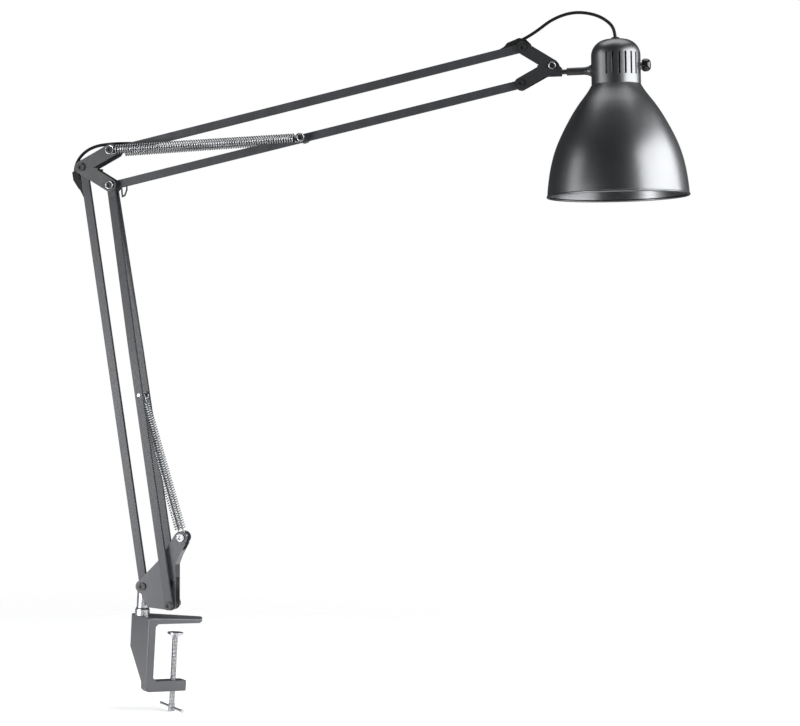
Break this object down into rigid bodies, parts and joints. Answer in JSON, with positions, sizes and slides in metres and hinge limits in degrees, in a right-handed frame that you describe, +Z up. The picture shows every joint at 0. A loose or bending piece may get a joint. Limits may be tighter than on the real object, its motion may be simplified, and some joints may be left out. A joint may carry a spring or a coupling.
{
  "type": "desk lamp",
  "caption": "Spring-balanced desk lamp: bell shade on a jointed two-section parallel arm with exposed springs, held by a screw clamp on the table's edge.",
  "frame": {"origin": "on the underside of the clamp's top jaw, in the plane of the arm", "axes": "+Z up, +X the way the arm reaches, +Y away from the viewer"},
  "size_m": [0.6718, 0.1494, 0.7682],
  "materials": {
    "clamp_paint": "satin graphite-grey paint on a casting",
    "bracket_paint": "satin graphite-grey paint",
    "grey_paint": "satin grey paint",
    "arm_paint": "satin graphite-grey paint",
    "shade_paint": "satin graphite-grey paint with a soft sheen",
    "bright_steel": "bright plated steel",
    "clamp_steel": "bright turned steel",
    "black_steel": "blackened steel",
    "dark_steel": "dark satin metal",
    "spring_steel": "bright spring wire",
    "black_plastic": "matt black",
    "holder_black": "dark satin",
    "knob_black": "glossy black",
    "cable_black": "matt black sheath",
    "cap_metal": "plain metal",
    "bulb_glass": "pearl white glass"
  },
  "bodies": {
    "clamp": {"clamp_frame": "clamp_paint", "swivel_spigot": "bright_steel", "swivel_collar": "grey_paint"},
    "clamp_foot": {"clamp_foot": "clamp_steel"},
    "clamp_screw": {"clamp_screw": "clamp_steel"},
    "tommy_bar": {"tommy_bar": "clamp_steel"},
    "bracket": {"base_bracket": "bracket_paint", "swivel_sleeve": "bright_steel", "friction_washer": "grey_paint", "base_pivot_screws": "black_steel", "base_pivot_nuts": "bright_steel", "base_pivot_bushes": "black_plastic", "spring_anchor_pin": "bright_steel"},
    "rear_arm": {"lower_rear_bar": "arm_paint", "rear_bar_cable": "cable_black", "rear_bar_cable_boot": "black_plastic"},
    "front_arm": {"lower_front_bar_near": "arm_paint", "lower_front_bar_far": "arm_paint", "lower_spring_pin": "bright_steel"},
    "elbow": {"elbow_plate_near": "arm_paint", "elbow_plate_far": "arm_paint", "elbow_pivot_screws": "black_steel", "elbow_pivot_nuts": "bright_steel", "elbow_bushes": "black_plastic", "elbow_spring_pin": "black_steel", "elbow_spring_sleeves": "black_plastic", "elbow_cable_loop": "cable_black"},
    "top_arm": {"upper_top_bar": "arm_paint", "upper_bar_cable": "cable_black", "cable_guide": "black_plastic"},
    "bottom_arm": {"upper_bottom_bar": "arm_paint", "bar_spring_pin": "black_steel", "bar_spring_sleeves": "black_plastic", "arm_stop_loop": "black_steel"},
    "head_bracket": {"head_plate_near": "arm_paint", "head_plate_far": "arm_paint", "head_pivot_screws": "black_steel", "head_pivot_nuts": "bright_steel", "head_cable_loop": "cable_black"},
    "knuckle": {"tilt_knuckle": "dark_steel"},
    "head": {"head_rod": "shade_paint", "shade": "shade_paint", "cable_grommet": "black_plastic", "holder_bridge": "bright_steel", "lampholder": "holder_black", "bulb_cap": "cap_metal", "light_bulb": "bulb_glass", "switch_body": "black_plastic", "switch_ferrule": "bright_steel", "head_inner_cable": "cable_black"},
    "knob": {"switch_knob": "knob_black"},
    "upper_springs": {"upper_spring_near": "spring_steel", "upper_spring_far": "spring_steel"},
    "spring_elbow_ends": {"upper_spring_elbow_hooks": "spring_steel"},
    "spring_bar_ends": {"upper_spring_bar_hooks": "spring_steel"},
    "lower_springs": {"lower_spring_near": "spring_steel", "lower_spring_far": "spring_steel"}
  },
  "joints": [
    {"name": "clamp_travel", "type": "slide", "parent": "clamp", "child": "clamp_foot", "axis": [0, 0, 1], "range_m": [-0.04, 0.009]},
    {"name": "clamp_screw_turn", "type": "hinge", "parent": "clamp_foot", "child": "clamp_screw", "pos_m": [0.02223, 0.00696, 0], "axis": [0, 0, 1], "range_deg": [-9600, 2160]},
    {"name": "tommy_bar_slide", "type": "slide", "parent": "clamp_screw", "child": "tommy_bar", "axis": [0.6534, -0.757, 0], "range_m": [-0.023, 0.023]},
    {"name": "base_swivel", "type": "hinge", "parent": "clamp", "child": "bracket", "pos_m": [-0.014, 0, 0], "axis": [0, 0, 1], "continuous": true},
    {"name": "lower_arm_tilt", "type": "hinge", "parent": "bracket", "child": "rear_arm", "pos_m": [-0.01363, 0, 0.03856], "axis": [0, 1, 0], "range_deg": [-12, 40]},
    {"name": "front_arm_turn", "type": "hinge", "parent": "bracket", "child": "front_arm", "pos_m": [0.0198, 0, 0.0205], "axis": [0, 1, 0], "range_deg": [-12, 40]},
    {"name": "elbow_turn", "type": "hinge", "parent": "rear_arm", "child": "elbow", "pos_m": [-0.10589, 0, 0.48922], "axis": [0, 1, 0], "range_deg": [-40, 12], "deforming": ["elbow_cable_loop"]},
    {"name": "upper_arm_tilt", "type": "hinge", "parent": "elbow", "child": "top_arm", "pos_m": [-0.07267, 0, 0.50915], "axis": [0, 1, 0], "range_deg": [-35, 45]},
    {"name": "bottom_arm_turn", "type": "hinge", "parent": "elbow", "child": "bottom_arm", "pos_m": [-0.07246, 0, 0.47115], "axis": [0, 1, 0], "range_deg": [-35, 45]},
    {"name": "head_bracket_turn", "type": "hinge", "parent": "top_arm", "child": "head_bracket", "pos_m": [0.37049, 0, 0.63247], "axis": [0, 1, 0], "range_deg": [-45, 35], "deforming": ["head_cable_loop"]},
    {"name": "shade_tilt", "type": "hinge", "parent": "head_bracket", "child": "knuckle", "pos_m": [0.40322, 0, 0.61433], "axis": [0, 1, 0], "range_deg": [-75, 38]},
    {"name": "shade_swivel", "type": "hinge", "parent": "knuckle", "child": "head", "pos_m": [0.41835, 0, 0.6088], "axis": [0.9974, 0, 0.0715], "range_deg": [-90, 90]},
    {"name": "switch_turn", "type": "hinge", "parent": "head", "child": "knob", "pos_m": [0.49491, 0, 0.6177], "axis": [0.9974, 0, 0.0715], "continuous": true},
    {"name": "upper_spring_swing", "type": "hinge", "parent": "elbow", "child": "upper_springs", "pos_m": [-0.07257, 0, 0.49015], "axis": [0, 1, 0], "range_deg": [-35, 45], "deforming": ["upper_spring_near", "upper_spring_far"]},
    {"name": "spring_elbow_end_stretch", "type": "slide", "parent": "upper_springs", "child": "spring_elbow_ends", "axis": [0.9952, 0, 0.0976], "range_m": [-0.0145, 0.0145], "deforming": ["upper_spring_elbow_hooks"]},
    {"name": "spring_bar_end_stretch", "type": "slide", "parent": "upper_springs", "child": "spring_bar_ends", "axis": [0.9952, 0, 0.0976], "range_m": [-0.0145, 0.0145], "deforming": ["upper_spring_bar_hooks"]},
    {"name": "lower_spring_swing", "type": "hinge", "parent": "bracket", "child": "lower_springs", "pos_m": [0.0271, 0, 0.094], "axis": [0, 1, 0], "range_deg": [-17.5, 57.5], "deforming": ["lower_spring_near", "lower_spring_far"]}
  ],
  "couplings": [
    {"joint": "clamp_screw_turn", "follows": "clamp_travel", "rad_per_m": 4188.8},
    {"joint": "front_arm_turn", "follows": "lower_arm_tilt", "ratio": 1},
    {"joint": "elbow_turn", "follows": "lower_arm_tilt", "ratio": -1},
    {"joint": "lower_spring_swing", "follows": "lower_arm_tilt", "ratio": 1.43},
    {"joint": "bottom_arm_turn", "follows": "upper_arm_tilt", "ratio": 1},
    {"joint": "head_bracket_turn", "follows": "upper_arm_tilt", "ratio": -1},
    {"joint": "upper_spring_swing", "follows": "upper_arm_tilt", "ratio": 1},
    {"joint": "spring_elbow_end_stretch", "follows": "upper_arm_tilt", "m_per_rad": -0.0175},
    {"joint": "spring_bar_end_stretch", "follows": "upper_arm_tilt", "m_per_rad": 0.0175}
  ]
}
